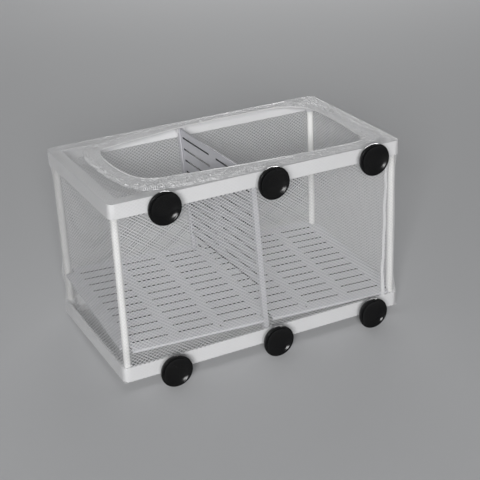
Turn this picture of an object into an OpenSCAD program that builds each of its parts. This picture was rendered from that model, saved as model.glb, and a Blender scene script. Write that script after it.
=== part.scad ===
// Fish breeding box: two plastic frames on corner posts inside a net bag, with a slotted divider,
// a slotted floor plate and suction cups along the front.
// The origin is the middle of the underside, +X runs along the length, the cups face -Y.

/* [Overall size] */
// Length over the frames
box_l = 265; // [245:1:290]
// Depth over the frames, front to back
box_w = 148; // [135:1:170]
// Height over the frames
box_h = 157; // [145:1:175]

/* [Frames] */
// Height of the upright skirt
skirt_h = 12.5; // [12:0.5:15]
// Width of the flat flange, from the outer face
flange_w = 10; // [9.5:0.5:12]
// Thickness of the skirt and the flange
frame_t = 2; // [1.5:0.1:2.3]
// Radius of the outer corners
corner_r = 5; // [4.5:0.5:7]

/* [Corner posts] */
// Diameter of a post
post_d = 6; // [5:0.2:6.4]
// Gap round a post in its socket
post_fit = 0.1; // [0.05:0.05:0.2]
// Wall of a post's socket
socket_wall = 1; // [0.8:0.1:1.2]
// Gap between a post and the skirts beside it
post_skirt_gap = 0.2; // [0.2:0.1:0.6]

/* [Divider] */
// Thickness of the divider board
divider_t = 1.8; // [1.4:0.1:2.2]
// Height of the divider board
divider_h = 105; // [96:1:106]
// Depth of the board's top edge below the top of the frames
divider_drop = 3; // [3:0.5:6]
// Number of rows of slots
divider_rows = 9; // [6:1:10]
// Distance from one row of slots to the next
divider_pitch = 10.9; // [9.5:0.1:11]
// Depth of the first row's centre below the board's top edge
divider_first = 7; // [6:0.5:10]
// Width of a slot in the board
divider_slot_w = 1.8; // [1.4:0.1:2.4]
// Plain strip between the two columns of slots
divider_web = 13; // [8:0.5:15]
// Distance of that strip's middle behind the middle of the board
divider_web_back = 2.8; // [0:0.1:5]
// Plain strip at the front edge of the board
divider_margin_front = 3; // [2.5:0.5:6]
// Plain strip at the back edge of the board
divider_margin_back = 6; // [3:0.5:8]

/* [Divider guides] */
// Thickness of a guide's wall
guide_wall = 0.9; // [0.8:0.1:1.2]
// Depth of a guide, front to back
guide_depth = 4.2; // [4:0.1:5]
// Gap at each face of the board in its guides
guide_fit = 0.4; // [0.35:0.05:0.6]
// Gap between the edges of the board and the backs of the guides
board_end_gap = 0.3; // [0.3:0.05:0.5]
// Place of the guides along the length, at half height
guide_x = -3.4; // [-6:0.1:6]
// Lean of the guides, tops to the left
guide_lean = 3.3; // [0:0.1:3.5]
// Turn of the divider about the upright, its back edge to the left
guide_turn = 1.2; // [0:0.1:1.5]
// Height of the seat that holds the end of a guide
seat_h = 4; // [3:0.5:5]
// Wall of a guide's seat
seat_wall = 0.8; // [0.7:0.1:1]

/* [Floor plate] */
// Thickness of the plate
floor_t = 2; // [1.5:0.1:2.5]
// Gap between the plate's edge and the net, laid level
floor_edge_gap = 1; // [0.9:0.1:1.5]
// Gap under the plate, laid level on the bottom frame
floor_seat_gap = 0.2; // [0.2:0.1:0.5]
// Gap between the plate's corner notches and the posts, laid level
notch_gap = 1; // [0.8:0.1:1.5]
// Angle at which the plate lies wedged, its back left corner high
floor_tilt = 6.1; // [4:0.1:7]
// Direction of the line that the plate tilts about, from the length
floor_turn = 27.4; // [20:0.1:32]
// Number of columns of slots
floor_cols = 6; // [4:1:7]
// Number of rows of slots
floor_rows = 12; // [8:1:13]
// Width of a slot in the plate
floor_slot_w = 1.7; // [1.4:0.1:2.4]
// Plain strip between two columns of slots
floor_web = 9; // [7:0.5:11]
// Plain strip from the plate's left and right edges to the slots
floor_side_margin = 12; // [11:0.5:15]
// Distance from the plate's front and back edges to the outer rows
floor_row_margin = 12; // [11:0.5:14]
// Length of the two small slits in the front margin
slit_l = 3.4; // [2:0.1:4.5]
// Width of those slits
slit_w = 1; // [0.8:0.1:1.4]

/* [Suction cups] */
// Diameter over the lip
cup_d = 28; // [24:0.5:30]
// Width of the flat rim of the lip
cup_rim = 1.2; // [0.8:0.1:1.8]
// Thickness of the lip at its edge
cup_lip_t = 0.7; // [0.5:0.1:1]
// Depth of the bowl
cup_bowl = 3.9; // [3:0.1:3.9]
// Height of the flared cup, from lip to collar
cup_flare = 8.5; // [7:0.5:9]
// Distance from the lip to the shoulder at the net
cup_depth = 14; // [12:0.5:16]
// Diameter of the collar behind the flare
cup_collar_d = 9; // [8:0.5:10]
// Diameter of the neck in the frame
neck_d = 5; // [4.6:0.1:5.6]
// Gap round the neck in its hole
neck_fit = 0.05; // [0.03:0.01:0.09]
// Diameter of the button head behind the skirt
head_d = 7.8; // [7:0.1:8]
// Thickness of the button head
head_t = 1.8; // [1.4:0.1:1.9]
// Play along the neck, at the net and at the skirt
cup_play = 0.3; // [0.3:0.05:0.35]
// Distance from the frames' left end to the left cups
cup_from_left = 40.5; // [30:0.5:45]
// Distance from the frames' right end to the right cups
cup_from_right = 34.5; // [30:0.5:45]

/* [Net bag] */
// Thickness of the net
net_t = 0.5; // [0.4:0.1:0.8]
// Width of a strand
net_strand = 2.2; // [1:0.1:2.5]
// Width of the sewn edge round each panel
net_border = 3; // [2:0.5:3.5]
// Number of gaps along the length
net_gaps_l = 36; // [20:2:36]
// Number of gaps along the depth
net_gaps_w = 20; // [12:2:20]
// Number of rows of gaps in a panel
net_rows = 2; // [2:2:4]
// Gap between a cup's neck and the net round it
net_hole_gap = 0.5; // [0.4:0.1:1]
// Thickness of the gathered flaps over the top frame
flap_t = 0.8; // [0.6:0.1:1.2]

/* [Mouth] */
// Distance from the left side to the middle of the mouth
mouth_from_left = 140.5; // [130:0.5:145]
// Distance from the back to the middle of the mouth
mouth_from_back = 69.5; // [65:0.5:74]
// Thickness of the elastic hem
hem_t = 1.6; // [1.2:0.1:2.2]

/* [Hidden] */

// Facets of a true round, and of the round ends of a slot
round_fn = 48;
slot_fn = 24;
// Overrun of a cut past the face that it leaves
over = 1;

half_l = box_l / 2;
half_w = box_w / 2;
frame_z = net_t;
frame_top = frame_z + box_h;
inner_h = box_h - 2 * frame_t;

post_inset = frame_t + post_d / 2 + post_skirt_gap;
post_x = half_l - post_inset;
post_y = half_w - post_inset;
socket_r = post_d / 2 + post_fit;

guide_gap = divider_t + 2 * guide_fit;
guide_w = guide_gap + 2 * guide_wall;
seat_fit = 0.2;
guide_play = seat_fit + seat_h * tan(guide_lean) + guide_depth * tan(guide_turn);
head_back = half_w - frame_t - cup_play - head_t;
guide_back = head_back - cup_play - seat_wall - seat_fit;
guide_end_gap = 0.1;
guide_len = (inner_h - 2 * guide_end_gap - guide_w * sin(guide_lean)) / cos(guide_lean);
guide_lean_shift = inner_h / 2 * tan(guide_lean);
guide_turn_shift = guide_back * tan(guide_turn);
board_w = 2 * (guide_back - guide_wall - board_end_gap);
board_top = frame_top - divider_drop;

floor_l = box_l - 2 * floor_edge_gap;
floor_w = box_w - 2 * floor_edge_gap;
floor_z = frame_z + skirt_h + floor_seat_gap;
floor_slot_l = (floor_l - 2 * floor_side_margin - (floor_cols - 1) * floor_web) / floor_cols;
floor_pitch = (floor_w - 2 * floor_row_margin) / (floor_rows - 1);
notch_r = post_d / 2 + notch_gap;
guide_notch_x = guide_x + (box_h / 2 - skirt_h) * tan(guide_lean);
guide_drift = box_w * sin(floor_tilt) * tan(guide_lean);
guide_notch_w = guide_w + 2 * (notch_gap + guide_drift);
guide_notch_y = guide_back - guide_depth - notch_gap;

cup_lip_y = -half_w - net_t - cup_play - cup_depth;
neck_l = cup_play + net_t + frame_t + cup_play;
// Places of the left, middle and right cups along the length
cup_x = [cup_from_left - half_l, (cup_from_left - cup_from_right) / 2, half_l - cup_from_right];

mouth_middle = [mouth_from_left - half_l, half_w - mouth_from_back];
mouth_steps = 6;
// Middle line of the hem, each point as its distances from the sides: positive ones from the
// right and the back, negative ones from the left and the front
mouth_points = [
  [20, 69], [20.5, 44], [28.5, 26.5], [44.5, 15.5], [82.5, 13], [132.5, 13.5],
  [-92.5, 19], [-52.5, 26.5], [-37, 33], [-33, 59], [-36, -54], [-48, -33],
  [-72.5, -27], [-122.5, -20], [82.5, -15.5], [37.5, -14], [25.5, -20], [22, -44]
];

// Rounded rectangle about the origin
module round_rect(l, w, r) {
  square([l - 2 * r, w], center = true);
  square([l, w - 2 * r], center = true);
  for (sx = [-1, 1], sy = [-1, 1])
    translate([sx * (l / 2 - r), sy * (w / 2 - r)]) circle(r, $fn = round_fn);
}

// Slot with round ends along X
module slot(l, w) {
  square([l - w, w], center = true);
  for (s = [-1, 1]) translate([s * (l - w) / 2, 0]) circle(w / 2, $fn = slot_fn);
}

// Places its child at each corner post
module at_posts() {
  for (sx = [-1, 1], sy = [-1, 1]) translate([sx * post_x, sy * post_y, 0]) children();
}

// Angle-section ring: the flange lies flat and the skirt stands on its outer edge
module angle_ring() {
  linear_extrude(skirt_h) difference() {
    round_rect(box_l, box_w, corner_r);
    round_rect(box_l - 2 * frame_t, box_w - 2 * frame_t, corner_r - frame_t);
  }
  linear_extrude(frame_t) difference() {
    round_rect(box_l, box_w, corner_r);
    square([box_l - 2 * flange_w, box_w - 2 * flange_w], center = true);
  }
}

// Seat that the end of a divider guide stands in, open towards the middle of the box
module guide_seat(x) {
  pocket_w = guide_w + 2 * guide_play;
  pocket_back = guide_back + seat_fit;
  translate([x, 0, 0]) difference() {
    translate([-pocket_w / 2 - seat_wall, half_w - flange_w, 0])
      cube([pocket_w + 2 * seat_wall, pocket_back + seat_wall - half_w + flange_w, frame_t + seat_h]);
    translate([-pocket_w / 2, half_w - flange_w - over, frame_t])
      cube([pocket_w, pocket_back - half_w + flange_w + over, seat_h + over]);
  }
}

// Frame moulding, flange down, with its guide seats at the lower (1) or upper (-1) guide ends
module frame_moulding(end) {
  seat_x = guide_x + end * guide_lean_shift;
  difference() {
    union() {
      angle_ring();
      at_posts() cylinder(h = skirt_h, r = socket_r + socket_wall, $fn = round_fn);
      guide_seat(seat_x - guide_turn_shift);
      mirror([0, 1, 0]) guide_seat(seat_x + guide_turn_shift);
    }
    at_posts() translate([0, 0, frame_t]) cylinder(h = skirt_h, r = socket_r, $fn = round_fn);
    for (x = cup_x)
      translate([x, -half_w - over, skirt_h / 2])
        rotate([-90, 0, 0])
          cylinder(h = frame_t + 2 * over, d = neck_d + 2 * neck_fit, $fn = round_fn);
  }
}

module bottom_frame() {
  color("white") translate([0, 0, frame_z]) frame_moulding(1);
}

module top_frame() {
  color("white") translate([0, 0, frame_top]) mirror([0, 0, 1]) frame_moulding(-1);
}

// Round rod between the two flanges
module corner_post(sx, sy) {
  color("ivory")
    translate([sx * post_x, sy * post_y, frame_z + frame_t])
      cylinder(h = inner_h, d = post_d, $fn = round_fn);
}

// Tips and turns its child about the middle of the guides
module leaning() {
  translate([guide_x, 0, frame_z + box_h / 2])
    rotate([0, 0, guide_turn]) rotate([0, -guide_lean, 0]) children();
}

// Upright channel at the back, open towards the middle of the box
module channel() {
  difference() {
    translate([-guide_w / 2, guide_back - guide_depth, -guide_len / 2])
      cube([guide_w, guide_depth, guide_len]);
    translate([-guide_gap / 2, guide_back - guide_depth - over, -guide_len / 2 - over])
      cube([guide_gap, guide_depth - guide_wall + over, guide_len + 2 * over]);
  }
}

module divider_guide(side) {
  color("ivory") leaning() mirror([0, side < 0 ? 1 : 0, 0]) channel();
}

// Board with two columns of slots, drawn flat with its front edge right and stood in its guides
module divider_board() {
  back_column = [divider_margin_back - board_w / 2, -divider_web_back - divider_web / 2];
  front_column = [divider_web / 2 - divider_web_back, board_w / 2 - divider_margin_front];
  color("gainsboro") leaning()
    translate([divider_t / 2, 0, board_top - frame_z - box_h / 2])
      rotate([90, 0, -90]) linear_extrude(divider_t) difference() {
        translate([-board_w / 2, -divider_h]) square([board_w, divider_h]);
        for (row = [0:divider_rows - 1], ends = [back_column, front_column])
          translate([(ends[0] + ends[1]) / 2, -divider_first - row * divider_pitch])
            slot(ends[1] - ends[0], divider_slot_w);
      }
}

// Outline of the floor plate with its slots and the notches for posts and guides
module floor_outline() {
  difference() {
    square([floor_l, floor_w], center = true);
    for (sx = [-1, 1], sy = [-1, 1]) post_notch(sx, sy);
    for (sy = [-1, 1]) mirror([0, sy < 0 ? 1 : 0])
      translate([guide_notch_x - sy * guide_turn_shift - guide_notch_w / 2, guide_notch_y])
        square([guide_notch_w, half_w]);
    for (col = [0:floor_cols - 1], row = [0:floor_rows - 1])
      translate([
        (col - (floor_cols - 1) / 2) * (floor_slot_l + floor_web),
        (row - (floor_rows - 1) / 2) * floor_pitch
      ]) slot(floor_slot_l, floor_slot_w);
    for (s = [-1, 1])
      translate([s * (floor_slot_l + floor_web), -floor_w / 2 + floor_row_margin / 2])
        square([slit_w, slit_l], center = true);
  }
}

// Notch round a post, open to the corner of the plate
module post_notch(sx, sy) {
  mirror([sx < 0 ? 1 : 0, 0]) mirror([0, sy < 0 ? 1 : 0]) translate([post_x, post_y]) {
    circle(notch_r, $fn = round_fn);
    translate([-notch_r, 0]) square(half_w);
    translate([0, -notch_r]) square(half_w);
  }
}

// The plate lies wedged: it rests near its front right corner and its back left corner is high
module floor_plate() {
  color("gainsboro")
    translate([floor_l / 2, -floor_w / 2, floor_z])
      rotate([0, 0, floor_turn]) rotate([floor_tilt, 0, 0]) rotate([0, 0, -floor_turn])
        translate([-floor_l / 2, floor_w / 2, 0])
          linear_extrude(floor_t) floor_outline();
}

// Half section of a cup from the lip (0) back to the button head, as [radius, distance]
function flare_point(i, steps) = [
  cup_collar_d / 2 + (cup_d / 2 - cup_collar_d / 2) * cos(90 * i / steps),
  cup_lip_t + (cup_flare - cup_lip_t) * sin(90 * i / steps)
];
function bowl_point(i, steps) = [
  (cup_d / 2 - cup_rim) * i / steps,
  cup_bowl * (1 - pow(i / steps, 2))
];

module suction_cup(x, z) {
  bowl_steps = 8;
  flare_steps = 9;
  head_at = cup_depth + neck_l;
  section = concat(
    [for (i = [0:bowl_steps]) bowl_point(i, bowl_steps)],
    [[cup_d / 2, 0]],
    [for (i = [0:flare_steps]) flare_point(i, flare_steps)],
    [
      [cup_collar_d / 2, cup_depth], [neck_d / 2, cup_depth], [neck_d / 2, head_at],
      [head_d / 2, head_at], [head_d / 2, head_at + head_t / 2],
      [head_d / 2 - head_t / 2, head_at + head_t], [0, head_at + head_t]
    ]
  );
  color("black")
    translate([x, cup_lip_y, z]) rotate([-90, 0, 0])
      rotate_extrude($fn = round_fn) polygon(section);
}

// Cup number i from the left, along the top or the bottom frame
module cup_at(i, top) {
  suction_cup(cup_x[i], top ? frame_top - skirt_h / 2 : frame_z + skirt_h / 2);
}

// Flat net: tall gaps between strands, a sewn edge at both ends and a band along both sides
module net_sheet(l, w, gaps, band) {
  cell_l = (l - 2 * net_border + net_strand) / gaps;
  cell_w = (w - 2 * band + net_strand) / net_rows;
  difference() {
    square([l, w], center = true);
    for (i = [0:gaps - 1], j = [0:net_rows - 1])
      translate([(i - (gaps - 1) / 2) * cell_l, (j - (net_rows - 1) / 2) * cell_w])
        square([cell_l - net_strand, cell_w - net_strand], center = true);
  }
}

// Panel along the length, standing on the bottom panel, its inner face towards +Y
module long_panel() {
  translate([0, -half_w, frame_z + box_h / 2]) rotate([90, 0, 0])
    linear_extrude(net_t) net_sheet(box_l + 2 * net_t, box_h, net_gaps_l, skirt_h);
}

module net_front() {
  color("whitesmoke") difference() {
    long_panel();
    for (x = cup_x, z = [frame_z + skirt_h / 2, frame_top - skirt_h / 2])
      translate([x, -half_w + over, z])
        rotate([90, 0, 0])
          cylinder(h = net_t + 2 * over, r = neck_d / 2 + net_hole_gap, $fn = round_fn);
  }
}

module net_back() {
  color("whitesmoke") mirror([0, 1, 0]) long_panel();
}

module net_side(side) {
  color("whitesmoke")
    translate([side > 0 ? half_l : -half_l - net_t, 0, frame_z + box_h / 2])
      rotate([90, 0, 90]) linear_extrude(net_t) net_sheet(box_w, box_h, net_gaps_w, skirt_h);
}

module net_bottom() {
  color("whitesmoke")
    linear_extrude(net_t) net_sheet(box_l + 2 * net_t, box_w + 2 * net_t, net_gaps_l, net_border);
}

// Smooth closed curve through the hem's points; u counts the points passed
function from_side(v, half) = v > 0 ? half - v : -half - v;
function mouth_node(i) =
  let (p = mouth_points[(i + len(mouth_points)) % len(mouth_points)])
  [from_side(p[0], half_l), from_side(p[1], half_w)];
function curve(a, b, c, d, t) =
  (2 * b + (c - a) * t + (2 * a - 5 * b + 4 * c - d) * t * t + (3 * b - a - 3 * c + d) * t * t * t) / 2;
function mouth_at(u) =
  let (i = floor(u))
  curve(mouth_node(i - 1), mouth_node(i), mouth_node(i + 1), mouth_node(i + 2), u - i);
function mouth_point(u, out) =
  let (along = mouth_at(u + 0.01) - mouth_at(u - 0.01))
  mouth_at(u) + out * [along[1], -along[0]] / norm(along);
module mouth_outline(out) {
  count = len(mouth_points) * mouth_steps;
  polygon([for (i = [0:count - 1]) mouth_point((i + 0.5) / mouth_steps, out)]);
}

// One side of the turned-in top, between the lines from the mouth's middle to two corners
module net_flap(corner_a, corner_b) {
  reach = 1.5;
  color("whitesmoke") translate([0, 0, frame_top]) linear_extrude(flap_t) intersection() {
    difference() {
      square([box_l + 2 * net_t, box_w + 2 * net_t], center = true);
      mouth_outline(hem_t / 2);
    }
    polygon([
      mouth_middle,
      mouth_middle + reach * ([corner_a[0] * half_l, corner_a[1] * half_w] - mouth_middle),
      mouth_middle + reach * ([corner_b[0] * half_l, corner_b[1] * half_w] - mouth_middle)
    ]);
  }
}

module elastic_hem() {
  color("white") translate([0, 0, frame_top]) linear_extrude(hem_t) difference() {
    mouth_outline(hem_t / 2);
    mouth_outline(-hem_t / 2);
  }
}

top_frame();
bottom_frame();
corner_post(-1, -1);  // corner_post_front_left
corner_post(1, -1);  // corner_post_front_right
corner_post(-1, 1);  // corner_post_back_left
corner_post(1, 1);  // corner_post_back_right
divider_guide(-1);  // divider_guide_front
divider_guide(1);  // divider_guide_back
divider_board();
floor_plate();
cup_at(0, true);  // suction_cup_top_left
cup_at(1, true);  // suction_cup_top_middle
cup_at(2, true);  // suction_cup_top_right
cup_at(0, false);  // suction_cup_bottom_left
cup_at(1, false);  // suction_cup_bottom_middle
cup_at(2, false);  // suction_cup_bottom_right
net_front();
net_back();
net_side(-1);  // net_left
net_side(1);  // net_right
net_bottom();
net_flap([-1, -1], [1, -1]);  // net_flap_front
net_flap([1, 1], [-1, 1]);  // net_flap_back
net_flap([-1, 1], [-1, -1]);  // net_flap_left
net_flap([1, -1], [1, 1]);  // net_flap_right
elastic_hem();
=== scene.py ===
# %% [markdown]
# # A fish breeding box in its net
# The box is a light cage: two white frames joined by four rods, a slotted floor and a slotted
# divider, all slipped into a bag of very fine white net. Six black suction cups hold it to the
# glass of an aquarium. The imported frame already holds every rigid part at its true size. This
# lesson adds what a maker sees up close: soft edges on the moulded plastic, threads in the net,
# gathers round the elastic, and the wet-looking gloss of the cups.
# Loading the frame first is the right order, because every later piece takes its place from it.

# %% Load the frame and keep its box
import math
import random

import bmesh
import bpy
import numpy as np
from mathutils import Matrix, Vector, noise


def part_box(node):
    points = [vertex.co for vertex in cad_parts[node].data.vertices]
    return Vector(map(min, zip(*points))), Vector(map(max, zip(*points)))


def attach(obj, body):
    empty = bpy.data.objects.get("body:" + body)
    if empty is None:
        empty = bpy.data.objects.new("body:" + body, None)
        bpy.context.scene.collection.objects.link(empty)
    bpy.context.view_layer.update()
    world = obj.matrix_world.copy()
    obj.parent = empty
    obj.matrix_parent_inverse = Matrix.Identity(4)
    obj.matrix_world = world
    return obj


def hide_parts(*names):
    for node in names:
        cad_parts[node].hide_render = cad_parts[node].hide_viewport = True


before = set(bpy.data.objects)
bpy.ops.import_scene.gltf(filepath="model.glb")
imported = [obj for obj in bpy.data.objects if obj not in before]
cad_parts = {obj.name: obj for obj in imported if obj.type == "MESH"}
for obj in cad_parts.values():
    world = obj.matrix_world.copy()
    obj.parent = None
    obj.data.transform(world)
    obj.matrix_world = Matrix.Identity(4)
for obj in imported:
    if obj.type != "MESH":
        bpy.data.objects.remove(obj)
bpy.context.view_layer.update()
MM = 0.001
random.seed(7)
print("pieces in the frame:", len(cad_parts))

# %% [markdown]
# ## Sizes that the other cells share
# A new piece has to meet the parts that carry it, so its sizes come from their boxes and not
# from typed numbers. Only what a box can't tell, such as a corner radius, is written here.

# %% Read the shared sizes
low_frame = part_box("bottom_frame")
high_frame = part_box("top_frame")
HALF_L = high_frame[1].x
HALF_W = high_frame[1].y
Z_LOW = low_frame[0].z
Z_TOP = high_frame[1].z
SKIRT = low_frame[1].z - Z_LOW
CORNER = 5.0 * MM
CUPS = [f"suction_cup_{row}_{side}" for row in ("top", "bottom")
        for side in ("left", "middle", "right")]
POSTS = [f"corner_post_{end}_{side}" for end in ("front", "back") for side in ("left", "right")]
GUIDES = ["divider_guide_front", "divider_guide_back"]


def cup_axis(name):
    """Middle of a cup's lip."""
    low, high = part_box(name)
    return (low.x + high.x) / 2, low.y, (low.z + high.z) / 2


print("frames", round(2 * HALF_L / MM, 1), "x", round(2 * HALF_W / MM, 1), "mm")

# %% [markdown]
# ## The camera
# The viewing angle was worked out from the seven corners of the frames that show. A camera made
# from an azimuth, an elevation, a small roll and a distance is easy to read and to correct, so
# its matrix is built from those and not set by eye.

# %% Set the camera
BOX_L = 2 * HALF_L
AZIMUTH = math.radians(-25.98)
ELEVATION = math.radians(24.72)
ROLL = math.radians(-2.606)
DISTANCE = 3.9606 * BOX_L
OFFSET = (0.0349 * BOX_L, 0.2294 * BOX_L + Z_LOW)
LENS = 86.18

back = Vector((math.sin(AZIMUTH) * math.cos(ELEVATION),
               -math.cos(AZIMUTH) * math.cos(ELEVATION), math.sin(ELEVATION)))
level = Vector((math.cos(AZIMUTH), math.sin(AZIMUTH), 0))
rise = back.cross(level)
right = math.cos(ROLL) * level + math.sin(ROLL) * rise
up = -math.sin(ROLL) * level + math.cos(ROLL) * rise
camera = bpy.data.objects.new("camera", bpy.data.cameras.new("camera"))
bpy.context.scene.collection.objects.link(camera)
camera.data.lens = LENS
camera.data.sensor_width = 36.0
camera.data.clip_start = 0.05
camera.data.clip_end = 50.0
turn = Matrix((right, up, back)).transposed().to_4x4()
place = OFFSET[0] * right + OFFSET[1] * up + DISTANCE * back
camera.matrix_world = Matrix.Translation(place) @ turn
bpy.context.scene.camera = camera
print("camera stands", round(place.length, 3), "m from the box")

# %% [markdown]
# ## Helpers for meshes and shader nodes
# Most new pieces are arrays of points and faces, and every finish is a tree of shader nodes.
# Handing whole arrays to Blender is far quicker than adding faces one by one. Making a node, its
# settings and its wires in one call lets a tree read as a list of steps, from source to shader.

# %% Helpers for meshes and shader nodes


def mesh_object(name, vertices, faces, smooth=False):
    """New mesh object from arrays of points and of faces with the same number of corners."""
    vertices, faces = np.asarray(vertices, np.float32), np.asarray(faces, np.int32)
    mesh = bpy.data.meshes.new(name)
    mesh.vertices.add(len(vertices))
    mesh.vertices.foreach_set("co", vertices.ravel())
    mesh.loops.add(faces.size)
    mesh.loops.foreach_set("vertex_index", faces.ravel())
    mesh.polygons.add(len(faces))
    mesh.polygons.foreach_set("loop_start", np.arange(len(faces), dtype=np.int32) * faces.shape[1])
    mesh.update(calc_edges=True)
    mesh.polygons.foreach_set("use_smooth", [smooth] * len(faces))
    made = bpy.data.objects.new(name, mesh)
    bpy.context.scene.collection.objects.link(made)
    return made


def feed(node, feeds):
    """Gives inputs of a node, by name or number, either a socket to read from or a value."""
    for name, source in dict(feeds).items():
        if isinstance(source, bpy.types.NodeSocket):
            node.id_data.links.new(source, node.inputs[name])
        else:
            node.inputs[name].default_value = source


def add_node(tree, kind, feeds=(), **properties):
    """New shader node with its properties set and its inputs fed."""
    node = tree.nodes.new("ShaderNode" + kind)
    for name, value in properties.items():
        setattr(node, name, value)
    feed(node, feeds)
    return node


def new_material(name):
    """New material, its node tree and its shader."""
    material = bpy.data.materials.new(name)
    material.use_nodes = True
    return material, material.node_tree, material.node_tree.nodes["Principled BSDF"]


print("meshes in the frame:", len(bpy.data.meshes))

# %% [markdown]
# ## The stage
# The stage is one wide sheet of pale grey card. It lies flat, so that light reaches the box from
# every side. The box leans on its lower cups, which reach further down than its back edge, so the
# card is tilted to touch both. Its colour is darker for light that bounces than for the eye: the
# card looks pale in the picture, but it doesn't light up the box from below, and the slots stay
# dark. It also gets paler towards the back, where the lamp's light is weaker, and far out it
# fades away, so that the plain room behind it shows no horizon.

# %% Build the stage
PALE_NEAR, PALE_FAR = (0.55, 0.555, 0.565), (0.77, 0.775, 0.785)
NEAR, FAR = -0.5, 1.0
FADE_FROM, FADE_TO = 0.9, 2.8
DIM = (0.16, 0.16, 0.165)
MATT = 0.9
REACH = 3.0
lip_y = cup_axis("suction_cup_bottom_left")[1]
cup_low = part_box("suction_cup_bottom_left")[0].z
back_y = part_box("net_back")[1].y
lean = math.atan2(-cup_low, back_y - lip_y)


def seen(tree):
    """1 for rays from the camera and from gloss or glass, 0 for light that bounces about."""
    ray = add_node(tree, "LightPath").outputs
    mirrored = add_node(tree, "Math", {0: ray["Is Glossy Ray"], 1: ray["Is Transmission Ray"]},
                        operation="MAXIMUM")
    either = add_node(tree, "Math", {0: ray["Is Camera Ray"], 1: mirrored.outputs[0]},
                      operation="MAXIMUM")
    return either.outputs[0]


def card_material(name):
    """Pale card for the eye, dim card for light that bounces off it."""
    material, tree, shader = new_material(name)
    place = add_node(tree, "TexCoord").outputs["Object"]
    axes = add_node(tree, "SeparateXYZ", {0: place})
    depth = add_node(tree, "MapRange", {"Value": axes.outputs["Y"], "From Min": NEAR,
                                        "From Max": FAR})
    pale = add_node(tree, "Mix", {"Factor": depth.outputs["Result"], "A": (*PALE_NEAR, 1),
                                  "B": (*PALE_FAR, 1)}, data_type="RGBA")
    shown = add_node(tree, "Mix", {"Factor": seen(tree), "A": (*DIM, 1),
                                   "B": pale.outputs["Result"]}, data_type="RGBA")
    away = add_node(tree, "VectorMath", {0: place}, operation="LENGTH")
    fade = add_node(tree, "MapRange", {"Value": away.outputs["Value"], "From Min": FADE_FROM,
                                       "From Max": FADE_TO, "To Min": 1.0, "To Max": 0.0},
                    interpolation_type="SMOOTHSTEP")
    feed(shader, {"Base Color": shown.outputs["Result"], "Roughness": MATT,
                  "Alpha": fade.outputs["Result"]})
    return material


stage_points = [(-REACH, -REACH, 0), (REACH, -REACH, 0), (REACH, REACH, 0), (-REACH, REACH, 0)]
backdrop = mesh_object("floor_card", stage_points, [(0, 1, 2, 3)])
backdrop.matrix_world = (Matrix.Translation((0, back_y, 0)) @ Matrix.Rotation(lean, 4, "X")
                         @ Matrix.Translation((0, -back_y, 0)))
backdrop.data.materials.append(card_material("pale_card"))
print("the box leans back by", round(math.degrees(lean), 2), "degrees on its lower cups")

# %% [markdown]
# ## The light
# White plastic shows its form only if the light has a direction, and black rubber shows it only
# in reflections. One soft box near the camera makes the front the brightest side and leaves a
# glint low in each cup's bowl. A wide, low one behind fills the back and the right side, and
# hardly touches the top. The room around lights the box as a plain grey gradient, bright above
# and behind, dark in front. To the camera and in reflections it is as pale as the card.

# %% Add the lamps and the room
ROOM_DARK, ROOM_BRIGHT, ROOM_SEEN = 0.03, 0.09, 0.28
BRIGHT_SIDE, BLEND = (-0.40, 0.68, 0.61), 0.75
DAYLIGHT = (0.96, 0.98, 1.0, 1)

world = bpy.data.worlds.new("soft_room")
world.use_nodes = True
room = world.node_tree
direction = add_node(room, "TexCoord").outputs["Generated"]
facing = add_node(room, "VectorMath", {0: direction, 1: BRIGHT_SIDE}, operation="DOT_PRODUCT")
shade = add_node(room, "MapRange", {"Value": facing.outputs["Value"], "From Min": -BLEND,
                                    "From Max": BLEND, "To Min": ROOM_DARK, "To Max": ROOM_BRIGHT},
                 interpolation_type="SMOOTHSTEP")
strength = add_node(room, "Mix", {"Factor": seen(room), "A": shade.outputs["Result"],
                                  "B": ROOM_SEEN})
feed(room.nodes["Background"], {"Color": DAYLIGHT, "Strength": strength.outputs["Result"]})
bpy.context.scene.world = world


def lamp(name, direction, distance, size, power):
    """Rectangular area lamp that looks at the middle of the box."""
    data = bpy.data.lights.new(name, "AREA")
    data.shape = "RECTANGLE"
    data.size, data.size_y = size
    data.energy = power
    made = bpy.data.objects.new(name, data)
    bpy.context.scene.collection.objects.link(made)
    toward = Vector(direction).normalized()
    made.location = Vector((0, 0, Z_TOP / 2)) + toward * distance
    made.rotation_euler = toward.to_track_quat("Z", "Y").to_euler()
    return made


lamp("front_lamp", (-0.43, -0.83, 0.35), distance=3.0, size=(1.24, 0.71), power=76.0)
lamp("back_lamp", (0.50, 0.86, 0.10), distance=2.6, size=(1.50, 0.40), power=32.0)
bpy.context.scene.view_settings.view_transform = "Standard"
print("room from", ROOM_DARK, "to", ROOM_BRIGHT)

# %% [markdown]
# ## Shared effects for the materials
# Moulded and die-cut plastics differ in gloss and tint but share their effects: a fine grain from
# the tool's surface, and faint cloudy patches where handling has dulled the gloss. The two boards
# also share one of their own: a mask of the walls of their punched slots, which get painted shade.
# Each effect is a node group with its own inputs, so a material only says how strong it wants it.

# %% Make the node groups
PATCH_EDGES = (0.34, 0.68)
STEEP = 0.5


def new_group(name, inputs, outputs):
    """Empty shader node group with its sockets, and its input and output nodes."""
    group = bpy.data.node_groups.new(name, "ShaderNodeTree")
    for label, kind, value in inputs:
        socket = group.interface.new_socket(name=label, in_out="INPUT", socket_type=kind)
        socket.default_value = value
    for label, kind in outputs:
        group.interface.new_socket(name=label, in_out="OUTPUT", socket_type=kind)
    return group, group.nodes.new("NodeGroupInput").outputs, group.nodes.new("NodeGroupOutput")


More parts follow.
